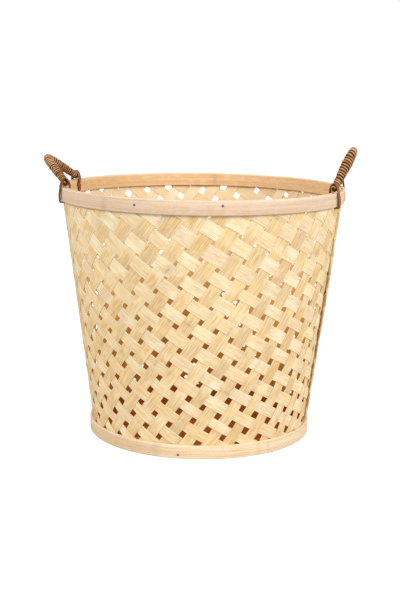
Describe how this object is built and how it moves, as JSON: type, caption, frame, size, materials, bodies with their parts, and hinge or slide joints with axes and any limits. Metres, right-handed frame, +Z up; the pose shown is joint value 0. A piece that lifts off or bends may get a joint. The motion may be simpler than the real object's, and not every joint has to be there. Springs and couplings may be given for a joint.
{
  "type": "bamboo basket",
  "caption": "Tapered round woven bamboo basket with lath hoops at rim and base and cane-wound bow handles lashed to the rim",
  "frame": {"origin": "middle of the floor's underside, in the plane that the basket stands on", "axes": "+Z is up along the basket's axis; -Y is the front as pictured; the left handle is at -X and the right handle at +X"},
  "size_m": [0.455, 0.418, 0.4271],
  "materials": {
    "pale_lath": "planed bamboo lath, bare",
    "warm_lath": "planed bamboo lath, bare",
    "splint": "split bamboo, bare",
    "cane_core": "round cane, stained",
    "cane_peel": "cane peel, stained",
    "lash_peel": "cane peel, dark stained",
    "dark_steel": "tarnished steel"
  },
  "bodies": {
    "basket": {"outer_rim_hoop": "pale_lath", "inner_rim_hoop": "warm_lath", "outer_base_hoop": "pale_lath", "inner_base_hoop": "warm_lath", "woven_wall": "splint", "woven_floor": "splint", "rim_tack_1": "dark_steel", "rim_tack_2": "dark_steel", "base_tack": "dark_steel", "left_front_lashing": "lash_peel", "left_rear_lashing": "lash_peel", "right_front_lashing": "lash_peel", "right_rear_lashing": "lash_peel"},
    "left_handle": {"left_handle_core": "cane_core", "left_handle_peel": "cane_peel"},
    "right_handle": {"right_handle_core": "cane_core", "right_handle_peel": "cane_peel"}
  },
  "joints": [
    {"name": "left_handle_tilt", "type": "hinge", "parent": "basket", "child": "left_handle", "pos_m": [-0.19335, 0.00337, 0.3724], "axis": [-0.0174, -0.9998, 0], "range_deg": [-67, 29]},
    {"name": "right_handle_tilt", "type": "hinge", "parent": "basket", "child": "right_handle", "pos_m": [0.19362, -0.03554, 0.3724], "axis": [0.1805, 0.9836, 0], "range_deg": [-43, 53]}
  ]
}
